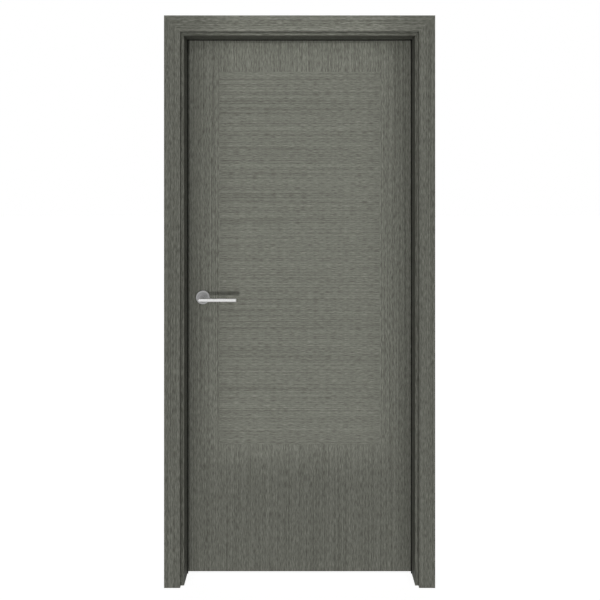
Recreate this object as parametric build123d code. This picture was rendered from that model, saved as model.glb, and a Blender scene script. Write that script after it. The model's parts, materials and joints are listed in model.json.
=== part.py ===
from build123d import *
import os

# Flush interior door: a veneered leaf with a cross-grained field on each face, hung on three butt
# hinges in a mitred frame with a planted stop, and trimmed with flat mitred casings on both
# sides of the wall.
#
# Millimetres. +Z is up, -Y is the front, and +X is to the right seen from the front. The leaf swings
# to the back (+Y) on the hinges at the right. The origin is at the foot of the hinge jamb's outer
# face, midway through the wall.

# Leaf
leaf_width = 900.0
leaf_height = 2100.0
leaf_thickness = 40.0
facing_thickness = 4.0
lipping_width = 8.0
leaf_arris = 1.0

# Field of cross-grained veneer, by its distance from the leaf's edges
field_side_margin = 135.0
field_top_margin = 135.0
field_bottom_margin = 500.0

# Air round the closed leaf
floor_gap = 5.0
edge_gap = 5.0
stop_gap = 5.0

# Frame: a jamb board with a stop planted on it
wall_thickness = 115.0
jamb_thickness = 40.0
stop_lap = 10.0
frame_arris = 1.0

# Seal in the stop
seal_width = 11.5
seal_show = 3.0
seal_round = 2.5
seal_stem_width = 3.0
seal_stem_depth = 6.0
seal_clearance = 0.3

# Casings on both sides of the wall
casing_width = 61.25
casing_thickness = 14.0
casing_margin = 12.5
casing_arris = 1.0

# Butt hinges
hinge_height = 100.0
hinge_end_distance = 200.0
hinge_plate_width = 30.0
hinge_plate_thickness = 2.5
knuckle_count = 5
knuckle_radius = 6.5
knuckle_gap = 0.3
pin_radius = 3.5
pin_clearance = 0.1
pin_stand_off = 7.5
pin_head_radius = 5.5
pin_head_height = 3.0

# Latch in the leaf's edge, and its strike in the jamb
forend_height = 200.0
forend_width = 20.0
forend_thickness = 3.0
bolt_height = 20.0
bolt_width = 12.0
bolt_length = 24.0
bolt_clearance = 0.3
strike_height = 120.0
strike_width = 24.0
strike_thickness = 2.0
strike_hole_height = 26.0
strike_hole_width = 16.0
strike_pocket_depth = 14.0

# Lever handle on a round rose, the same on both faces
lever_height = 1084.0
lever_backset = 70.0
rose_diameter = 54.0
rose_thickness = 8.0
rose_arris = 1.5
bar_diameter = 14.0
bar_arris = 1.0
lever_projection = 60.0
lever_reach = 137.0
neck_clearance = 0.1
neck_face_gap = 0.5
spindle_side = 8.0
spindle_socket_depth = 15.0
spindle_clearance = 0.1
spindle_bore_diameter = 22.0

# Plan of the frame: distances out from the middle of the doorway, and places through the wall
rebate_width = edge_gap + stop_lap
stop_face = leaf_width / 2 - stop_lap
rebate_face = stop_face + rebate_width
jamb_outside = stop_face + jamb_thickness
front_y = -wall_thickness / 2
back_y = wall_thickness / 2
leaf_back_y = back_y
leaf_front_y = leaf_back_y - leaf_thickness
stop_y = leaf_front_y - stop_gap
leaf_middle_y = (leaf_front_y + leaf_back_y) / 2
middle_x = -jamb_outside

# Leaf's edges
leaf_latch_x = middle_x - leaf_width / 2
leaf_hinge_x = middle_x + leaf_width / 2
leaf_bottom_z = floor_gap
leaf_top_z = floor_gap + leaf_height

# The mitres meet on this line, which lies as far under the head's stop as the legs lie to the side
mitre_z = leaf_top_z - stop_lap - stop_face

# Hinge pins
pin_x = middle_x + (leaf_width / 2 + rebate_face) / 2
pin_y = back_y + pin_stand_off
hinge_bottom_z = leaf_bottom_z + hinge_end_distance
hinge_top_z = leaf_top_z - hinge_end_distance
hinge_places = {
    "top": hinge_top_z,
    "middle": (hinge_top_z + hinge_bottom_z) / 2,
    "bottom": hinge_bottom_z,
}

# Lever's axis
lever_x = leaf_latch_x + lever_backset


def block(x_range, y_range, z_range):
    """Box between two places along each axis."""
    low = (x_range[0], y_range[0], z_range[0])
    size = (x_range[1] - x_range[0], y_range[1] - y_range[0], z_range[1] - z_range[0])
    return Pos(*low) * Box(*size, align=(Align.MIN, Align.MIN, Align.MIN))


def rounded(face, corners, radius):
    """The face with an arc at each of the corners that are given as points."""
    picked = [face.vertices().sort_by_distance(corner)[0] for corner in corners]
    return fillet(picked, radius)


def outline(*points):
    """Flat face inside a closed run of straight lines."""
    return make_face(Polyline(*points, close=True))


def around(middle, size):
    """Range of a size about its middle."""
    return middle - size / 2, middle + size / 2


# Frame: each section is drawn with X as the distance out from the middle of the doorway
def mitre(side):
    """Plane of the corner's mitre, facing the leg on that side: 1 is the hinges' side, -1 the latch's."""
    return Plane(origin=(middle_x, 0, mitre_z), z_dir=(side, 0, -1))


def hinge_leg(section):
    """The section run up the hinge side from the floor to the mitre."""
    reach = leaf_top_z + jamb_thickness + casing_margin + casing_width
    prism = Pos(middle_x, 0, 0) * extrude(section, amount=reach, dir=(0, 0, 1))
    return split(prism, bisect_by=mitre(1), keep=Keep.TOP)


def latch_leg(section):
    """The same leg on the latch's side."""
    return mirror(hinge_leg(section), about=Plane(origin=(middle_x, 0, 0), z_dir=(1, 0, 0)))


def head(section):
    """The section run over the doorway between the two mitres."""
    reach = jamb_outside + casing_margin + casing_width
    prism = extrude(section, amount=reach, dir=(0, 0, 1), both=True)
    prism = Pos(middle_x, 0, mitre_z) * Rot(Y=-90) * prism
    for side in (1, -1):
        prism = split(prism, bisect_by=mitre(side), keep=Keep.BOTTOM)
    return prism


def jamb_section():
    """Jamb board, from the wall to the edge gap beside the leaf."""
    section = outline(
        (rebate_face, front_y),
        (jamb_outside, front_y),
        (jamb_outside, back_y),
        (rebate_face, back_y),
    )
    return rounded(section, [(rebate_face, back_y)], frame_arris)


def stop_section():
    """Stop that the leaf closes on, flush with the jamb's front, with the seal's groove in its back."""
    groove = around(stop_face + stop_lap / 2, seal_stem_width)
    groove_y = stop_y - seal_stem_depth
    section = outline(
        (stop_face, front_y),
        (rebate_face, front_y),
        (rebate_face, stop_y),
        (groove[1], stop_y),
        (groove[1], groove_y),
        (groove[0], groove_y),
        (groove[0], stop_y),
        (stop_face, stop_y),
    )
    return rounded(section, [(stop_face, front_y), (stop_face, stop_y)], frame_arris)


def seal_section():
    """Rubber seal: a stem in the groove and a pad that meets the closed leaf."""
    stem = around(stop_face + stop_lap / 2, seal_stem_width)
    pad = (stop_face - seal_show, stop_face - seal_show + seal_width)
    pad_y = leaf_front_y - seal_clearance
    stem_y = stop_y - seal_stem_depth
    section = outline(
        (stem[0], stem_y),
        (stem[1], stem_y),
        (stem[1], stop_y),
        (pad[1], stop_y),
        (pad[1], pad_y),
        (pad[0], pad_y),
        (pad[0], stop_y),
        (stem[0], stop_y),
    )
    return rounded(section, [(pad[0], pad_y), (pad[1], pad_y)], seal_round)


def casing_section(inner_edge, wall_face, room_face):
    """Flat casing with eased edges on the side of the room."""
    outer_edge = inner_edge + casing_width
    section = outline(
        (inner_edge, wall_face),
        (outer_edge, wall_face),
        (outer_edge, room_face),
        (inner_edge, room_face),
    )
    return rounded(section, [(inner_edge, room_face), (outer_edge, room_face)], casing_arris)


def mitred_set(name, section):
    """Two legs and a head of one section."""
    return {
        f"{name}_latch_side": latch_leg(section),
        f"{name}_hinge_side": hinge_leg(section),
        f"{name}_head": head(section),
    }


# Leaf
def facing(y_range, outer_y):
    """Surround and field of one face of the leaf, before its cut-outs; the surround's outer edges are eased."""
    field_x = (leaf_latch_x + field_side_margin, leaf_hinge_x - field_side_margin)
    field_z = (leaf_bottom_z + field_bottom_margin, leaf_top_z - field_top_margin)
    field = block(field_x, y_range, field_z)
    board = block((leaf_latch_x, leaf_hinge_x), y_range, (leaf_bottom_z, leaf_top_z))
    outer_face = board.faces().sort_by_distance((middle_x, outer_y, (leaf_bottom_z + leaf_top_z) / 2))[0]
    board = chamfer(outer_face.edges(), leaf_arris)
    return board - field, field


def leaf_boards():
    """Core, edge lippings and the two faces, before their cut-outs."""
    inside_y = (leaf_front_y + facing_thickness, leaf_back_y - facing_thickness)
    inside_x = (leaf_latch_x + lipping_width, leaf_hinge_x - lipping_width)
    inside_z = (leaf_bottom_z + lipping_width, leaf_top_z - lipping_width)
    full_z = (leaf_bottom_z, leaf_top_z)
    front_surround, front_field = facing((leaf_front_y, inside_y[0]), leaf_front_y)
    back_surround, back_field = facing((inside_y[1], leaf_back_y), leaf_back_y)
    return {
        "leaf_core": block(inside_x, inside_y, inside_z),
        "latch_lipping": block((leaf_latch_x, inside_x[0]), inside_y, full_z),
        "hinge_lipping": block((inside_x[1], leaf_hinge_x), inside_y, full_z),
        "bottom_lipping": block(inside_x, inside_y, (leaf_bottom_z, inside_z[0])),
        "top_lipping": block(inside_x, inside_y, (inside_z[1], leaf_top_z)),
        "front_surround": front_surround,
        "front_field": front_field,
        "back_surround": back_surround,
        "back_field": back_field,
    }


# Hinges
def hinge_plate(plate_x, middle_z):
    """Flat plate let into the wood, up to the wood's back edge."""
    return block(plate_x, (back_y - hinge_plate_width, back_y), around(middle_z, hinge_height))


def hinge_half(plate_x, middle_z, knuckles):
    """Plate with its own knuckles rolled round the pin; it is cut back beside the other half's."""
    low_z = middle_z - hinge_height / 2
    knuckle_height = (hinge_height - (knuckle_count - 1) * knuckle_gap) / knuckle_count
    half = hinge_plate(plate_x, middle_z)
    for index in knuckles:
        knuckle_z = low_z + index * (knuckle_height + knuckle_gap)
        half += block(plate_x, (back_y, pin_y), (knuckle_z, knuckle_z + knuckle_height))
        half += upright(knuckle_radius, knuckle_z, knuckle_height)
    return half - upright(pin_radius + pin_clearance, low_z, hinge_height)


def upright(radius, low_z, height):
    """Round bar on the line of the hinge pins."""
    bar = Cylinder(radius, height, align=(Align.CENTER, Align.CENTER, Align.MIN))
    return Pos(pin_x, pin_y, low_z) * bar


def hinge_pin(middle_z):
    """Pin with a flat head at each end of the knuckles."""
    low_z = middle_z - hinge_height / 2
    high_z = middle_z + hinge_height / 2
    lower_head = upright(pin_head_radius, low_z - pin_head_height, pin_head_height)
    upper_head = upright(pin_head_radius, high_z, pin_head_height)
    return lower_head + upright(pin_radius, low_z, hinge_height) + upper_head


# Latch and strike
def round_ended_plate(edge_x, thickness, width, height, side):
    """Round-ended plate on an edge at the lever's height; its thickness runs to that side."""
    face = Plane(origin=(edge_x, leaf_middle_y, lever_height), x_dir=(0, 0, 1), z_dir=(side, 0, 0))
    return extrude(face * SlotOverall(height, width), amount=thickness)


def latch_block(x_range, width, height):
    """Square block on the latch's line."""
    return block(x_range, around(leaf_middle_y, width), around(lever_height, height))


# Levers
def lever_turned(profile):
    """Turned piece about the front lever's axis; the profile's second value is the height off the leaf."""
    seat = Plane(origin=(lever_x, leaf_front_y, lever_height), x_dir=(1, 0, 0), z_dir=(0, -1, 0))
    return seat * revolve(Plane.XZ * profile, Axis.Z)


def front_rose():
    """Flat round rose with an eased rim, and a hole for the lever's neck."""
    hole_radius = bar_diameter / 2 + neck_clearance
    rim_radius = rose_diameter / 2
    return lever_turned(outline(
        (hole_radius, 0),
        (rim_radius, 0),
        (rim_radius, rose_thickness - rose_arris),
        (rim_radius - rose_arris, rose_thickness),
        (hole_radius, rose_thickness),
    ))


def front_lever():
    """Round bar with a mitred elbow, from its neck in the rose to its end, socketed for the spindle."""
    start = (lever_x, leaf_front_y - neck_face_gap, lever_height)
    elbow = (lever_x, leaf_front_y - lever_projection, lever_height)
    end = (lever_x + lever_reach, leaf_front_y - lever_projection, lever_height)
    section = Plane(origin=start, z_dir=(0, -1, 0)) * Circle(bar_diameter / 2)
    bar = sweep(section, path=Polyline(start, elbow, end), transition=Transition.RIGHT)
    end_face = bar.faces().sort_by_distance(end)[0]
    bar = chamfer(end_face.edges(), bar_arris)

    socket_y = (leaf_front_y - spindle_socket_depth, leaf_front_y)
    return bar - spindle_block(socket_y, spindle_side + 2 * spindle_clearance)


def spindle_block(y_range, side):
    """Square bar on the lever's axis."""
    return block(around(lever_x, side), y_range, around(lever_height, side))


def to_back(piece):
    """The same piece on the leaf's back face."""
    return mirror(piece, about=Plane(origin=(0, leaf_middle_y, 0), z_dir=(0, 1, 0)))


def build_door():
    """All pieces of the door by name."""
    pieces = {}
    pieces.update(mitred_set("jamb", jamb_section()))
    pieces.update(mitred_set("stop", stop_section()))
    pieces.update(mitred_set("seal", seal_section()))
    front_edge = stop_face + casing_margin
    back_edge = rebate_face + casing_margin
    front = casing_section(front_edge, front_y, front_y - casing_thickness)
    back = casing_section(back_edge, back_y, back_y + casing_thickness)
    pieces.update(mitred_set("front_casing", front))
    pieces.update(mitred_set("back_casing", back))
    pieces.update(leaf_boards())

    # Hinges and the mortises that they lie in
    rebate_x = middle_x + rebate_face
    frame_plate_x = (rebate_x, rebate_x + hinge_plate_thickness)
    leaf_plate_x = (leaf_hinge_x - hinge_plate_thickness, leaf_hinge_x)
    frame_knuckles = range(0, knuckle_count, 2)
    leaf_knuckles = range(1, knuckle_count, 2)
    for place, middle_z in hinge_places.items():
        pieces["jamb_hinge_side"] -= hinge_plate(frame_plate_x, middle_z)
        pieces["hinge_lipping"] -= hinge_plate(leaf_plate_x, middle_z)
        pieces["back_surround"] -= hinge_plate(leaf_plate_x, middle_z)
        pieces[f"frame_hinge_{place}"] = hinge_half(frame_plate_x, middle_z, frame_knuckles)
        pieces[f"leaf_hinge_{place}"] = hinge_half(leaf_plate_x, middle_z, leaf_knuckles)
        pieces[f"hinge_pin_{place}"] = hinge_pin(middle_z)

    # Latch: the bolt is drawn back flush with the forend
    forend = round_ended_plate(leaf_latch_x, forend_thickness, forend_width, forend_height, 1)
    bolt_x = (leaf_latch_x, leaf_latch_x + bolt_length)
    bolt_hole = latch_block(bolt_x, bolt_width + 2 * bolt_clearance, bolt_height + 2 * bolt_clearance)
    pieces["latch_lipping"] -= forend
    pieces["latch_lipping"] -= bolt_hole
    pieces["leaf_core"] -= bolt_hole
    pieces["latch_forend"] = forend - bolt_hole
    pieces["latch_bolt"] = latch_block(bolt_x, bolt_width, bolt_height)

    # Strike in the latch jamb's rebate, over a pocket for the bolt
    strike_x = middle_x - rebate_face
    strike = round_ended_plate(strike_x, strike_thickness, strike_width, strike_height, -1)
    pocket_x = (strike_x - strike_pocket_depth, strike_x)
    pocket = latch_block(pocket_x, strike_hole_width, strike_hole_height)
    pieces["jamb_latch_side"] -= strike
    pieces["jamb_latch_side"] -= pocket
    pieces["strike_plate"] = strike - pocket

    # Levers on one square spindle through a bore in the leaf
    bore = Cylinder(spindle_bore_diameter / 2, leaf_thickness)
    bore = Pos(lever_x, leaf_middle_y, lever_height) * Rot(X=90) * bore
    for name in ("leaf_core", "front_surround", "front_field", "back_surround", "back_field"):
        pieces[name] -= bore
    spindle_end = spindle_socket_depth - spindle_clearance
    spindle_y = (leaf_front_y - spindle_end, leaf_back_y + spindle_end)
    pieces["front_rose"] = front_rose()
    pieces["back_rose"] = to_back(pieces["front_rose"])
    pieces["front_lever"] = front_lever()
    pieces["back_lever"] = to_back(pieces["front_lever"])
    pieces["spindle"] = spindle_block(spindle_y, spindle_side)
    return pieces


os.makedirs("parts", exist_ok=True)
for name, piece in build_door().items():
    export_step(piece, f"parts/{name}.step")
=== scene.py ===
import json
import math

import bmesh
import bpy
from mathutils import Matrix, Vector


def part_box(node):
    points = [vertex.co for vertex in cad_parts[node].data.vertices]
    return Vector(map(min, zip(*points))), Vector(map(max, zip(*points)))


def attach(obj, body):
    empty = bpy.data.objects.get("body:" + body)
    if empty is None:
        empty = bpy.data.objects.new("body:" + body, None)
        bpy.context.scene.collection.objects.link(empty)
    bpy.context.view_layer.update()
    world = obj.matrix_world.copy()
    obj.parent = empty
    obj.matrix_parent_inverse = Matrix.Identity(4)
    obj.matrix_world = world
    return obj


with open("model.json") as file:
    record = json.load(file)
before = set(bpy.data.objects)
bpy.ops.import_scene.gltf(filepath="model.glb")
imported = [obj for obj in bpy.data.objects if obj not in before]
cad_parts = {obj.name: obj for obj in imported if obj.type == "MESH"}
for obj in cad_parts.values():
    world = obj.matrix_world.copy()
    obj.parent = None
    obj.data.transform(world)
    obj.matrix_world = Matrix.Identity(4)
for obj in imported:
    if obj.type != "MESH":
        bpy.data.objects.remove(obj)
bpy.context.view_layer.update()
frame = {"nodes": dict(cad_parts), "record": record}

# Metres throughout. -Y is the front of the door, +Z is up.

# Photo: its size in pixels, the scale at the casings' front, the doorway's middle and the eye's level
PHOTO_PIXELS = 600
PIXELS_PER_METRE = 264.1
MIDDLE_COLUMN = 299.6
EYE_ROW = 175
EYE_DISTANCE = 2.31
EYE_HEIGHT = 1.564
SENSOR_WIDTH = 36.0

# Light: levels are what a white face across the light would show, and the soft face light gathers in a ring
FACE_LEVEL = 0.585
RING_POWERS = (6, 3)
KEY_LEVEL = 0.30
POOL_LEVEL = 0.38
SIDE_LEVEL = 0.45
BACK_LEVEL = 0.30
SIDE_SOFTNESS = math.radians(1.5)
KEY_LEFT = math.radians(5.8)
KEY_ABOVE = math.radians(-14)
KEY_SOFTNESS = math.radians(7)
POOL_SIDES = (-0.804, -0.144)
POOL_ENDS = (0.45, 2.45)
POOL_MIDDLE = 1.50
POOL_ABOVE = math.radians(9)
POOL_DISTANCE = 3.0
POOL_SPREAD = math.radians(5)
FLOOR_REACH = 20.0
FLOOR_COLOUR = (0.42, 0.42, 0.42, 1.0)
FLOOR_GLOW = 0.920

# Oak: stain colours in linear light, how strongly the grain shows in the fields, the rest of the leaf
# and the frame, the painted shade on the stops and the painted light on the casings' heads
OAK_DARK = (0.080, 0.081, 0.067)
OAK_LIGHT = (0.192, 0.196, 0.168)
OAK_PORE = (0.060, 0.060, 0.050)
FIELD_CONTRAST = 1.9
LEAF_CONTRAST = 2.3
FRAME_CONTRAST = 2.9
# The stops are painted darker, as shade in the reveals.
STOP_PAINTED_SHADE = 0.90
# The casings' heads are painted lighter, as light falling on them.
HEAD_PAINTED_LIGHT = 1.09
OAK_ROUGHNESS = (0.72, 0.58)
OAK_SPECULAR = 0.10
OAK_BUMP = {"Strength": 0.35, "Distance": 0.0004}

# Grain: each layer's width, length and share, how far the lines wander, the pores, and the step in the
# tree from board to board
GRAIN_LAYERS = ((0.0030, 1.2, 0.35), (0.0040, 0.060, 0.11), (0.0019, 0.024, 0.54))
GRAIN_SPAN = (0.26, 0.74)
GRAIN_RELIEF = 0.5
GRAIN_WANDER = 0.0008
WANDER_SCALE = (7.0, 7.0, 5.0)
WANDER_SPAN = (0.2, 0.8)
PORE_SIZE = (0.0007, 0.016)
PORE_EDGE = (0.57, 0.68)
PORE_DEPTH = 0.75
BOARD_SHIFT = (0.37, 0.23, 0.61)

# Steel: colour, roughness and the brush marks in a metre or a turn, and what the marks change
PLATE_STEEL = ((0.50, 0.50, 0.49), 0.34, (1500.0, 1500.0, 40.0))
HANDLE_STEEL = ((0.76, 0.76, 0.755), 0.30, (50.0, 1600.0, 1600.0))
# The roses' steel is the levers' steel painted darker, as painted shade and a painted dark reflection.
ROSE_SHADED_STEEL = ((0.30, 0.30, 0.30), 0.38, (1600.0, 1600.0, 3.0))
NOISE_SPAN = (0.3, 0.7)
MARK_TINT = (0.90, 1.06)
MARK_ROUGHNESS = 0.06
CLOUD_ROUGHNESS = 0.03
CLOUD_SCALE = 60.0
STEEL_BUMP = {"Strength": 0.12, "Distance": 0.0001}

# Rubber of the seals, with and without bloom, both darker than rubber is, as painted shade of the gap between
# stop and leaf
RUBBER_PLAIN_GAP_SHADE = (0.002, 0.002, 0.002)
RUBBER_BLOOM_GAP_SHADE = (0.006, 0.006, 0.0055)
RUBBER_ROUGHNESS = (0.70, 0.82)
RUBBER_SPECULAR = 0.10
BLOOM_SCALE = 90.0
BLOOM_SPAN = (0.35, 0.7)
SKIN_SCALE = 1800.0
RUBBER_BUMP = {"Strength": 0.2, "Distance": 0.0002}

# Chipboard of the core
CHIP_COLOURS = ((0.30, 0.21, 0.12), (0.55, 0.44, 0.30))
CHIP_DUST = (0.18, 0.12, 0.07)
CHIP_SCALE = 260.0
CHIP_ROUGHNESS = (0.75, 0.9)
CHIP_SPECULAR = 0.20
DUST_SCALE = 900.0
DUST_SPAN = (0.5, 0.75)
DUST_SHARE = 0.5
CHIP_BUMP = {"Strength": 0.5, "Distance": 0.0006}

# Screw heads of radius 1: recesses in twelve points from FIRST_ANGLE, and the rings round them
FIRST_ANGLE = -15
RECESS_POINTS = 12
RIM_POINTS = 24
CROSS_ARM = 0.55
CROSS_HALF = 0.15
HEX_SIZE = 0.62
RECESS_FLOOR = 0.8
RECESS_DEPTH = 0.25
MIDDLE_RING = 0.68
SHOULDER_RING = 0.90
HEAD_RISE = 0.04
HEAD_DEPTH = 0.30
SCREW_CROWN = 0.20
FIRST_SPIN = 0.4
SPIN_STEP = 0.9

# Screws: sizes, and places as shares of their plates
HINGE_SCREW_RADIUS = 0.0040
HINGE_SCREWS = (0.13, 0.37, 0.63, 0.87)
HINGE_STAGGER = 0.34
PLATE_SCREW_RADIUS = 0.0036
PLATE_SCREW = 0.12
GRUB_RADIUS = 0.0026
GRUB_CROWN = 0.02
GRUB_SINK = 0.0002
GRUB_DISTANCE = 0.014

# Roses: radii between which the colour goes from the satin face to a painted highlight on the rim, and how
# much brighter that highlight is
ROSE_HIGHLIGHT_RADII = (0.0200, 0.0255)
ROSE_HIGHLIGHT_GAIN = 1.6

LEVEL_GRAIN = ("jamb_head", "stop_head", "front_casing_head", "back_casing_head", "front_field", "back_field",
               "top_lipping", "bottom_lipping")


# Shader helpers
def new_material(name):
    """Empty node material with its output node."""
    material = bpy.data.materials.new(name)
    material.use_nodes = True
    material.node_tree.nodes.clear()
    return material, material.node_tree, material.node_tree.nodes.new("ShaderNodeOutputMaterial")


def add(tree, kind, inputs=None, **settings):
    """New shader node: an input that is given a socket is linked to it, and any other is set."""
    node = tree.nodes.new("ShaderNode" + kind)
    for name, value in settings.items():
        setattr(node, name, value)
    for name, value in (inputs or {}).items():
        if isinstance(value, bpy.types.NodeSocket):
            tree.links.new(value, node.inputs[name])
        else:
            node.inputs[name].default_value = value
    return node


def math_node(tree, operation, *values):
    """Output of a Math node."""
    return add(tree, "Math", dict(enumerate(values)), operation=operation).outputs[0]


def fitted(tree, value, low, high, to_low=0.0, to_high=1.0):
    """The value taken from one range to another, held at the ends."""
    ends = {"From Min": low, "From Max": high, "To Min": to_low, "To Max": to_high}
    return add(tree, "MapRange", {"Value": value, **ends}).outputs[0]


def blended(tree, factor, first, second, blend_type="MIX"):
    """Colour mixed from two."""
    node = add(tree, "Mix", data_type="RGBA", blend_type=blend_type)
    for socket, value in zip((node.inputs[0], node.inputs[6], node.inputs[7]), (factor, first, second)):
        if isinstance(value, bpy.types.NodeSocket):
            tree.links.new(value, socket)
        elif isinstance(value, tuple):
            socket.default_value = (*value, 1.0)
        else:
            socket.default_value = value
    return node.outputs[2]


def seen_ray(tree):
    """1 for rays that show the background: from the camera, or by way of metal or glass."""
    path = add(tree, "LightPath").outputs
    glossy = math_node(tree, "MAXIMUM", path["Is Camera Ray"], path["Is Glossy Ray"])
    return math_node(tree, "MAXIMUM", glossy, path["Is Transmission Ray"])


# Materials
def grain_place(tree, grain, shift):
    """Place in the wood as across, depth and along; shift sets each board in another part of the tree."""
    place = add(tree, "TexCoord").outputs["Object"]
    axes = add(tree, "SeparateXYZ", {0: place}).outputs
    across, along = (axes["X"], axes["Z"]) if grain == "Z" else (axes["Z"], axes["X"])
    turned = add(tree, "CombineXYZ", {"X": across, "Y": axes["Y"], "Z": along}).outputs[0]
    moved = add(tree, "VectorMath", {0: turned, 1: shift}, operation="ADD").outputs[0]
    bend_place = add(tree, "VectorMath", {0: moved, 1: WANDER_SCALE}, operation="MULTIPLY").outputs[0]
    bend = add(tree, "TexNoise", {"Vector": bend_place, "Scale": 1.0, "Detail": 2.0}).outputs["Fac"]
    aside = fitted(tree, bend, *WANDER_SPAN, -GRAIN_WANDER, GRAIN_WANDER)
    wander = add(tree, "CombineXYZ", {"X": aside}).outputs[0]
    return add(tree, "VectorMath", {0: moved, 1: wander}, operation="ADD").outputs[0]


def streaks(tree, place, width, length, detail=2.0):
    """Noise drawn out along the grain, by the width and length of a streak."""
    scale = (1 / width, 1 / width, 1 / length)
    stretched = add(tree, "VectorMath", {0: place, 1: scale}, operation="MULTIPLY").outputs[0]
    return add(tree, "TexNoise", {"Vector": stretched, "Scale": 1.0, "Detail": detail}).outputs["Fac"]


def board_painted_light(name):
    """Painted light on a board: the stops get painted shade and are darker, the casings' heads get painted
    light and are lighter than the rest.
    """
    if name.startswith("stop_"):
        return STOP_PAINTED_SHADE
    return HEAD_PAINTED_LIGHT if name.endswith("_casing_head") else 1.0


def oak(name, grain, shift, contrast, painted_light):
    """Matt grey-stained oak with open pores."""
    material, tree, output = new_material(name)
    place = grain_place(tree, grain, shift)
    pores = fitted(tree, streaks(tree, place, *PORE_SIZE, 1.0), *PORE_EDGE)
    tone = 0.0
    for width, length, share in GRAIN_LAYERS:
        layer = fitted(tree, streaks(tree, place, width, length), *GRAIN_SPAN)
        tone = math_node(tree, "MULTIPLY_ADD", layer, share, tone)
    tone = math_node(tree, "MULTIPLY_ADD", tone, contrast, (1.0 - contrast) / 2)
    wood = blended(tree, tone, OAK_DARK, OAK_LIGHT)
    pore_depth = math_node(tree, "MULTIPLY", pores, PORE_DEPTH)
    colour = blended(tree, pore_depth, wood, OAK_PORE)
    # Painted light and shade: the board's factor darkens the stops and lightens the casings' heads.
    colour = blended(tree, 1.0, colour, (painted_light,) * 3, "MULTIPLY")

    # The last layer is the finest, and gives the relief with the pores.
    height = math_node(tree, "MULTIPLY_ADD", pores, -1.0, math_node(tree, "MULTIPLY", layer, GRAIN_RELIEF))
    bump = add(tree, "Bump", {**OAK_BUMP, "Height": height})
    shader = add(tree, "BsdfPrincipled", {
        "Base Color": colour,
        "Roughness": fitted(tree, tone, 0.0, 1.0, *OAK_ROUGHNESS),
        "Specular IOR Level": OAK_SPECULAR,
        "Normal": bump.outputs[0],
    })
    tree.links.new(shader.outputs[0], output.inputs["Surface"])
    return material


def steel(name, colour, roughness, stretch, centre=None):
    """Satin steel, brushed along an axis or round a centre, where a painted highlight brightens the rim;
    stretch is the marks in a metre or a turn.
    """
    material, tree, output = new_material(name)
    place = add(tree, "TexCoord").outputs["Object"]
    marks_place = place
    if centre:
        offset = add(tree, "VectorMath", {0: place, 1: centre}, operation="SUBTRACT").outputs[0]
        axes = add(tree, "SeparateXYZ", {0: offset}).outputs
        flat = add(tree, "CombineXYZ", {"X": axes["X"], "Z": axes["Z"]}).outputs[0]
        radius = add(tree, "VectorMath", {0: flat}, operation="LENGTH").outputs["Value"]
        angle = math_node(tree, "ARCTAN2", axes["Z"], axes["X"])
        marks_place = add(tree, "CombineXYZ", {"X": radius, "Y": axes["Y"], "Z": angle}).outputs[0]
    marks_place = add(tree, "VectorMath", {0: marks_place, 1: stretch}, operation="MULTIPLY").outputs[0]
    marks = add(tree, "TexNoise", {"Vector": marks_place, "Scale": 1.0, "Detail": 3.0}).outputs["Fac"]
    clouds = add(tree, "TexNoise", {"Vector": place, "Scale": CLOUD_SCALE, "Detail": 3.0}).outputs["Fac"]
    tint = fitted(tree, marks, *NOISE_SPAN, *MARK_TINT)
    # Painted highlight: a rose's rim is made brighter in colour than its face.
    if centre:
        painted_highlight = fitted(tree, radius, *ROSE_HIGHLIGHT_RADII, 1.0, ROSE_HIGHLIGHT_GAIN)
        tint = math_node(tree, "MULTIPLY", tint, painted_highlight)
    shade = add(tree, "VectorMath", {0: colour, "Scale": tint}, operation="SCALE").outputs[0]
    marked = fitted(tree, marks, *NOISE_SPAN, roughness - MARK_ROUGHNESS, roughness + MARK_ROUGHNESS)
    clouded = fitted(tree, clouds, *NOISE_SPAN, -CLOUD_ROUGHNESS, CLOUD_ROUGHNESS)
    rough = math_node(tree, "ADD", marked, clouded)
    bump = add(tree, "Bump", {**STEEL_BUMP, "Height": marks})
    shader = add(tree, "BsdfPrincipled", {
        "Base Color": shade,
        "Metallic": 1.0,
        "Roughness": rough,
        "Normal": bump.outputs[0],
    })
    tree.links.new(shader.outputs[0], output.inputs["Surface"])
    return material


def rubber(name):
    """Matt black rubber with faint bloom, darkened past real rubber as painted shade of the seal's gap."""
    material, tree, output = new_material(name)
    place = add(tree, "TexCoord").outputs["Object"]
    bloom = add(tree, "TexNoise", {"Vector": place, "Scale": BLOOM_SCALE, "Detail": 4.0}).outputs["Fac"]
    skin = add(tree, "TexNoise", {"Vector": place, "Scale": SKIN_SCALE, "Detail": 1.0}).outputs["Fac"]
    bump = add(tree, "Bump", {**RUBBER_BUMP, "Height": skin})
    shader = add(tree, "BsdfPrincipled", {
        # Painted shade: the rubber's colours are darkened to stand for the shadow in the gap beside the leaf.
        "Base Color": blended(tree, fitted(tree, bloom, *BLOOM_SPAN), RUBBER_PLAIN_GAP_SHADE, RUBBER_BLOOM_GAP_SHADE),
        "Roughness": fitted(tree, bloom, *NOISE_SPAN, *RUBBER_ROUGHNESS),
        "Specular IOR Level": RUBBER_SPECULAR,
        "Normal": bump.outputs[0],
    })
    tree.links.new(shader.outputs[0], output.inputs["Surface"])
    return material


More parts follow.
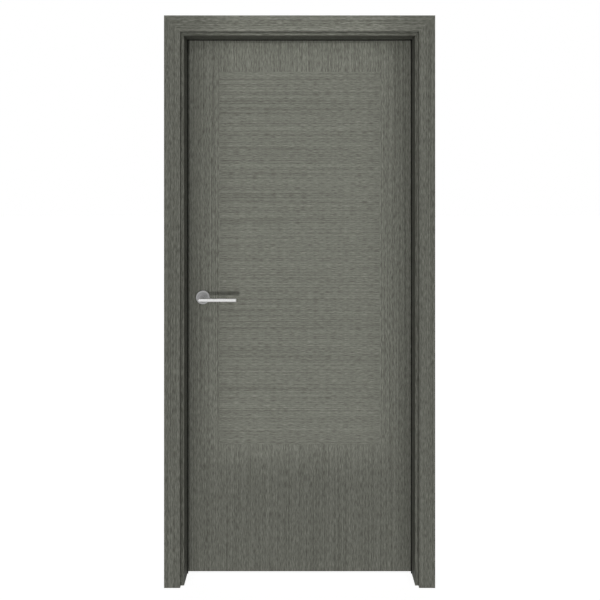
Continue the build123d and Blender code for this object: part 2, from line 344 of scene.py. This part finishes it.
def chipboard(name):
    """Raw chipboard of the leaf's core."""
    material, tree, output = new_material(name)
    place = add(tree, "TexCoord").outputs["Object"]
    chips = add(tree, "TexVoronoi", {"Vector": place, "Scale": CHIP_SCALE})
    dust = add(tree, "TexNoise", {"Vector": place, "Scale": DUST_SCALE, "Detail": 2.0}).outputs["Fac"]
    chip_tone = add(tree, "SeparateColor", {0: chips.outputs["Color"]}).outputs[0]
    wood = blended(tree, chip_tone, *CHIP_COLOURS)
    bump = add(tree, "Bump", {**CHIP_BUMP, "Height": dust})
    shader = add(tree, "BsdfPrincipled", {
        "Base Color": blended(tree, fitted(tree, dust, *DUST_SPAN, 0.0, DUST_SHARE), wood, CHIP_DUST),
        "Roughness": fitted(tree, dust, *NOISE_SPAN, *CHIP_ROUGHNESS),
        "Specular IOR Level": CHIP_SPECULAR,
        "Normal": bump.outputs[0],
    })
    tree.links.new(shader.outputs[0], output.inputs["Surface"])
    return material


def dress_nodes():
    """A material for each CAD node, by its slot; each board of oak has its own stretch of grain."""
    shared = {
        "core_board": chipboard("core_board"),
        "seal_rubber": rubber("seal_rubber"),
        "hinge_steel": steel("hinge_steel", *PLATE_STEEL),
        "latch_steel": steel("latch_steel", *PLATE_STEEL),
        "handle_steel": steel("handle_steel", *HANDLE_STEEL),
    }
    # Roses: their darker steel is painted shade and a painted dark reflection, and its rim carries a painted
    # highlight.
    rose_low, rose_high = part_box("front_rose")
    rose_middle = tuple((rose_low + rose_high) / 2)
    rose_shaded_steel = steel("rose_shaded_steel", *ROSE_SHADED_STEEL, rose_middle)
    contrasts = {"field_oak": FIELD_CONTRAST, "leaf_oak": LEAF_CONTRAST}
    for index, part in enumerate(frame["record"]["subparts"]):
        name = part["node"]
        slot = part["material_slot"]
        grain = "X" if name in LEVEL_GRAIN else "Z"
        shift = tuple(step * index for step in BOARD_SHIFT)
        if slot in shared:
            material = rose_shaded_steel if name.endswith("_rose") else shared[slot]
        else:
            contrast = contrasts.get(slot, FRAME_CONTRAST)
            material = oak("oak_" + name, grain, shift, contrast, board_painted_light(name))
        node = frame["nodes"][name]
        node.data.materials.clear()
        node.data.materials.append(material)
    return shared


# Screws
def quarter_turns(points):
    """The points, and the same points turned by each quarter of a turn."""
    turned = []
    for _ in range(4):
        turned += points
        points = [(-y, x) for x, y in points]
    return turned


def cross_recess():
    """Outline of a cross."""
    return quarter_turns([(CROSS_ARM, -CROSS_HALF), (CROSS_ARM, CROSS_HALF), (CROSS_HALF, CROSS_HALF)])


def circle(radius, count):
    """Points round a circle."""
    angles = [math.radians(360 * step / count + FIRST_ANGLE) for step in range(count)]
    return [(radius * math.cos(angle), radius * math.sin(angle)) for angle in angles]


def hex_recess():
    """Outline of a hexagon, with a point in the middle of each side."""
    side_middle = HEX_SIZE * math.cos(math.pi / 6)
    sizes = [HEX_SIZE, side_middle] * (RECESS_POINTS // 2)
    return [(size * x, size * y) for size, (x, y) in zip(sizes, circle(1.0, RECESS_POINTS))]


def add_head(mesh, seat, radius, recess, crown):
    """Screw head with a recess, crowned by a share of its radius; seat places it, with Z outwards."""
    def level(x, y):
        return crown * (1 - x * x - y * y) + HEAD_RISE

    def corners(points, rise=None):
        places = [Vector((x, y, level(x, y) if rise is None else rise)) for x, y in points]
        return [mesh.verts.new(seat @ (radius * place)) for place in places]

    def bridge(inner, outer):
        for step, corner in enumerate(inner):
            following = (step + 1) % len(inner)
            mesh.faces.new((corner, outer[step], outer[following], inner[following]))

    floor = corners([(RECESS_FLOOR * x, RECESS_FLOOR * y) for x, y in recess], -RECESS_DEPTH)
    lip = corners(recess)
    middle = corners(circle(MIDDLE_RING, RECESS_POINTS))
    shoulder = corners(circle(SHOULDER_RING, RIM_POINTS))
    rim = corners(circle(1.0, RIM_POINTS), 0.0)
    foot = corners(circle(1.0, RIM_POINTS), -HEAD_DEPTH)
    mesh.faces.new(floor)
    bridge(floor, lip)
    bridge(lip, middle)
    for step, corner in enumerate(middle):
        arc = [shoulder[(2 * step + part) % RIM_POINTS] for part in range(3)]
        mesh.faces.new((corner, *arc, middle[(step + 1) % RECESS_POINTS]))
    bridge(shoulder, rim)
    bridge(rim, foot)
    mesh.faces.new(foot[::-1])


def add_screws(name, places, facing, radius, recess, crown, body, material):
    """One piece with a screw head at each place on a face."""
    mesh = bmesh.new()
    turn = facing.to_track_quat("Z", "Y").to_matrix().to_4x4()
    for index, place in enumerate(places):
        spin = Matrix.Rotation(FIRST_SPIN + SPIN_STEP * index, 4, "Z")
        add_head(mesh, Matrix.Translation(place) @ turn @ spin, radius, recess, crown)
    bmesh.ops.recalc_face_normals(mesh, faces=mesh.faces)
    data = bpy.data.meshes.new(name)
    mesh.to_mesh(data)
    mesh.free()
    data.materials.append(material)
    piece = bpy.data.objects.new(name, data)
    bpy.context.scene.collection.objects.link(piece)
    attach(piece, body)


def add_all_screws(steels):
    """Screws of the hinges, the forend and the strike, and the levers' grub screws."""
    cross = cross_recess()
    jamb_low, jamb_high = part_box("jamb_hinge_side")
    _, lipping_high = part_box("hinge_lipping")
    halves = (
        ("frame", jamb_low.x, Vector((-1, 0, 0))),
        ("leaf", lipping_high.x, Vector((1, 0, 0))),
    )
    for body, face_x, facing in halves:
        for height in ("top", "middle", "bottom"):
            low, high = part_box(f"{body}_hinge_{height}")
            places = []
            for index, share in enumerate(HINGE_SCREWS):
                across = HINGE_STAGGER if index % 2 else 1 - HINGE_STAGGER
                y = low.y + across * (jamb_high.y - low.y)
                places.append(Vector((face_x, y, low.z + share * (high.z - low.z))))
            add_screws(f"{body}_hinge_screws_{height}", places, facing, HINGE_SCREW_RADIUS, cross,
                       SCREW_CROWN, body, steels["hinge_steel"])

    for node, body, side in (("latch_forend", "leaf", -1), ("strike_plate", "frame", 1)):
        low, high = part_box(node)
        face_x = low.x if side < 0 else high.x
        places = [Vector((face_x, (low.y + high.y) / 2, low.z + share * (high.z - low.z)))
                  for share in (PLATE_SCREW, 1 - PLATE_SCREW)]
        add_screws(node + "_screws", places, Vector((side, 0, 0)), PLATE_SCREW_RADIUS, cross,
                   SCREW_CROWN, body, steels["latch_steel"])

    for name in ("front", "back"):
        lever_low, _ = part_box(name + "_lever")
        rose_low, rose_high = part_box(name + "_rose")
        y = rose_low.y - GRUB_DISTANCE if name == "front" else rose_high.y + GRUB_DISTANCE
        place = Vector(((rose_low.x + rose_high.x) / 2, y, lever_low.z + GRUB_SINK))
        add_screws(name + "_grub_screw", [place], Vector((0, 0, -1)), GRUB_RADIUS, hex_recess(),
                   GRUB_CROWN, "lever", steels["handle_steel"])


# Stage
def light_direction(left, above):
    """Unit vector from the door towards a light in front of it, so far to the left and above."""
    return Vector((-math.tan(left), -1.0, math.tan(above))).normalized()


def add_light(kind, name, direction, place=(0, 0, 0), **settings):
    """Lamp that shines against the direction."""
    data = bpy.data.lights.new(name, kind)
    for setting, value in settings.items():
        setattr(data, setting, value)
    lamp = bpy.data.objects.new(name, data)
    lamp.location = place
    lamp.visible_glossy = False
    lamp.rotation_euler = (-direction).to_track_quat("-Z", "Y").to_euler()
    bpy.context.scene.collection.objects.link(lamp)


def add_pool(name, direction, ends, leaf_y):
    """Soft-edged beam on the upper door between two heights."""
    width = POOL_SIDES[1] - POOL_SIDES[0]
    height = ends[1] - ends[0]
    target = Vector((sum(POOL_SIDES) / 2, leaf_y, sum(ends) / 2))
    add_light("AREA", name, direction, target + POOL_DISTANCE * direction,
              energy=math.pi * POOL_LEVEL * width * height, shape="RECTANGLE", size=width,
              size_y=height * -direction.y, spread=POOL_SPREAD)


def add_lights(leaf_y):
    """Key light from low on the left, a pool of light in two beams, and level light on the sides and back."""
    key = light_direction(KEY_LEFT, KEY_ABOVE)
    add_light("SUN", "key", key, energy=math.pi * KEY_LEVEL / -key.y, angle=KEY_SOFTNESS)
    add_pool("pool_low", key, (POOL_ENDS[0], POOL_MIDDLE), leaf_y)
    add_pool("pool_high", light_direction(0, POOL_ABOVE), (POOL_MIDDLE, POOL_ENDS[1]), leaf_y)
    level_lights = (
        ("side_left", (-1, 0, 0), SIDE_LEVEL),
        ("side_right", (1, 0, 0), SIDE_LEVEL),
        ("back", (0, 1, 0), BACK_LEVEL),
    )
    for name, direction, level in level_lights:
        add_light("SUN", name, Vector(direction), energy=math.pi * level, angle=SIDE_SOFTNESS)


def add_world():
    """Soft light on the door's two faces, from a ring about straight ahead; it is seen as plain white."""
    world = bpy.data.worlds.new("studio")
    bpy.context.scene.world = world
    world.use_nodes = True
    tree = world.node_tree
    tree.nodes.clear()
    direction = add(tree, "SeparateXYZ", {0: add(tree, "TexCoord").outputs["Generated"]}).outputs
    ahead = math_node(tree, "MULTIPLY", direction["Y"], direction["Y"])
    aside = math_node(tree, "SUBTRACT", 1.0, ahead)
    inner, outer = (math_node(tree, "POWER", *term) for term in zip((ahead, aside), RING_POWERS))
    ring = math_node(tree, "MULTIPLY", inner, outer)
    gain = math.factorial(sum(RING_POWERS) + 1) / math.prod(math.factorial(power) for power in RING_POWERS)
    light = math_node(tree, "MULTIPLY", ring, FACE_LEVEL * gain)
    seen = seen_ray(tree)
    strength = math_node(tree, "MULTIPLY_ADD", math_node(tree, "SUBTRACT", 1.0, light), seen, light)
    background = add(tree, "Background", {"Color": (1, 1, 1, 1), "Strength": strength})
    output = tree.nodes.new("ShaderNodeOutputWorld")
    tree.links.new(background.outputs[0], output.inputs["Surface"])


def add_floor(middle_x):
    """Pale floor that is seen as white and keeps the door's soft shadow."""
    mesh = bpy.data.meshes.new("floor")
    corners = [(-1, -1), (1, -1), (1, 1), (-1, 1)]
    places = [(middle_x + FLOOR_REACH * x, FLOOR_REACH * y, 0) for x, y in corners]
    mesh.from_pydata(places, [], [(0, 1, 2, 3)])
    floor = bpy.data.objects.new("floor", mesh)
    bpy.context.scene.collection.objects.link(floor)
    floor.visible_shadow = False
    floor.visible_diffuse = False
    material, tree, output = new_material("floor")
    diffuse = add(tree, "BsdfDiffuse", {"Color": FLOOR_COLOUR})
    glow = add(tree, "Emission", {"Strength": math_node(tree, "MULTIPLY", seen_ray(tree), FLOOR_GLOW)})
    both = add(tree, "AddShader", {0: diffuse.outputs[0], 1: glow.outputs[0]})
    tree.links.new(both.outputs[0], output.inputs["Surface"])
    mesh.materials.append(material)


def add_camera(middle_x, casing_y):
    """Level camera before the doorway's middle, with its frame shifted as in the photo."""
    data = bpy.data.cameras.new("camera")
    data.sensor_width = SENSOR_WIDTH
    data.lens = SENSOR_WIDTH * EYE_DISTANCE * PIXELS_PER_METRE / PHOTO_PIXELS
    data.shift_x = (PHOTO_PIXELS / 2 - MIDDLE_COLUMN) / PHOTO_PIXELS
    data.shift_y = (EYE_ROW - PHOTO_PIXELS / 2) / PHOTO_PIXELS
    camera = bpy.data.objects.new("camera", data)
    camera.location = (middle_x, casing_y - EYE_DISTANCE, EYE_HEIGHT)
    camera.rotation_euler = (math.pi / 2, 0, 0)
    bpy.context.scene.collection.objects.link(camera)
    bpy.context.scene.camera = camera


head_low, head_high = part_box("front_casing_head")
leaf_low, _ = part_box("front_field")
door_middle = (head_low.x + head_high.x) / 2

add_all_screws(dress_nodes())
add_world()
add_floor(door_middle)
add_lights(leaf_low.y)
add_camera(door_middle, head_low.y)
bpy.context.scene.view_settings.view_transform = "Standard"
